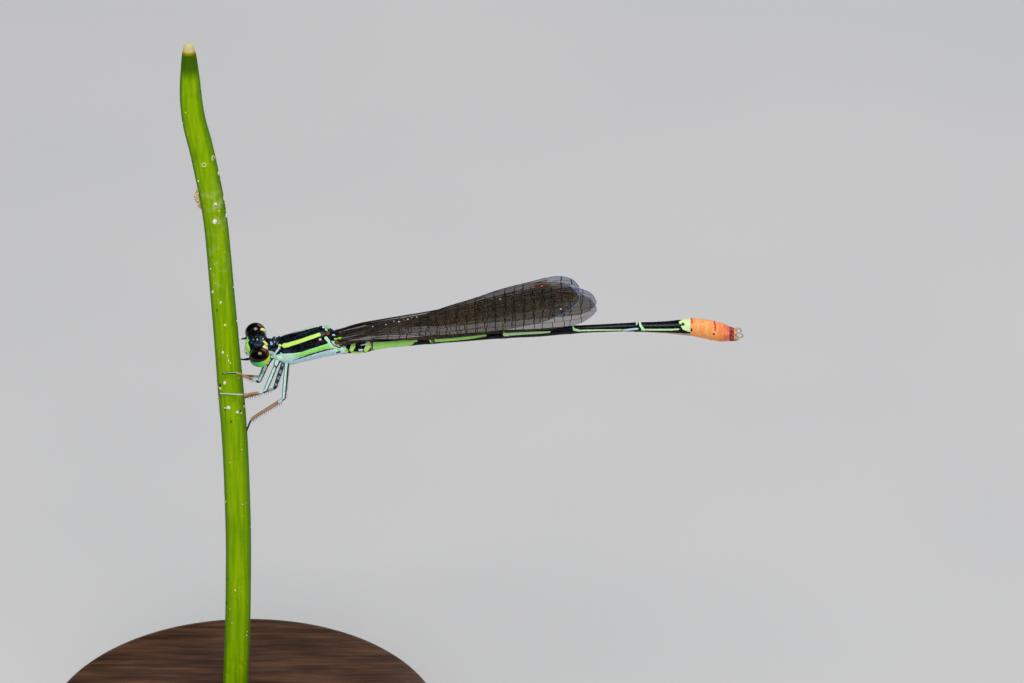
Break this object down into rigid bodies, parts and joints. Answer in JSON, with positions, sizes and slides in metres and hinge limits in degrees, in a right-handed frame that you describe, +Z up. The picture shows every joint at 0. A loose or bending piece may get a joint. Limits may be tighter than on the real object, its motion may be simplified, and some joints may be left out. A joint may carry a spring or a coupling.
{
  "type": "damselfly",
  "caption": "Slender damselfly with folded clear wings, striped thorax and orange-tipped abdomen, gripping an upright cut reed stem on a plain round stand.",
  "frame": {"origin": "centre of the stand's underside, on the floor", "axes": "+Z up, +X from the insect's head towards the tip of its abdomen, +Y towards its right side; the picture was taken from the -Y side"},
  "size_m": [0.0313, 0.018, 0.0361],
  "materials": {
    "body": "black cuticle with apple-green stripes and an orange tip",
    "eyes": "glossy, black-brown above and green below",
    "legs": "pale blue-green thighs and straw shins with dark lines",
    "wings": "clear smoky membrane with dark veins",
    "perch": "fresh green stem with faint ribs",
    "stand_wood": "dark waxed hardwood",
    "stand_metal": "satin brass"
  },
  "bodies": {
    "root": {"head": "body", "antenna_left": "body", "antenna_right": "body", "eye_left": "eyes", "eye_right": "eyes", "prothorax": "body", "thorax": "body", "abdomen_segments_1_2": "body", "abdomen_segment_3": "body", "abdomen_segment_4": "body", "abdomen_segment_5": "body", "abdomen_segment_6": "body", "abdomen_segment_7": "body", "abdomen_segment_8": "body", "abdomen_segment_9": "body", "abdomen_segment_10": "body", "wing_fore_left": "wings", "wing_fore_right": "wings", "wing_hind_left": "wings", "wing_hind_right": "wings", "leg_fore_left": "legs", "leg_fore_right": "legs", "leg_mid_left": "legs", "leg_mid_right": "legs", "leg_hind_left": "legs", "leg_hind_right": "legs", "perch_stem": "perch", "stand_base": "stand_wood", "stand_rod": "stand_metal"}
  },
  "joints": []
}
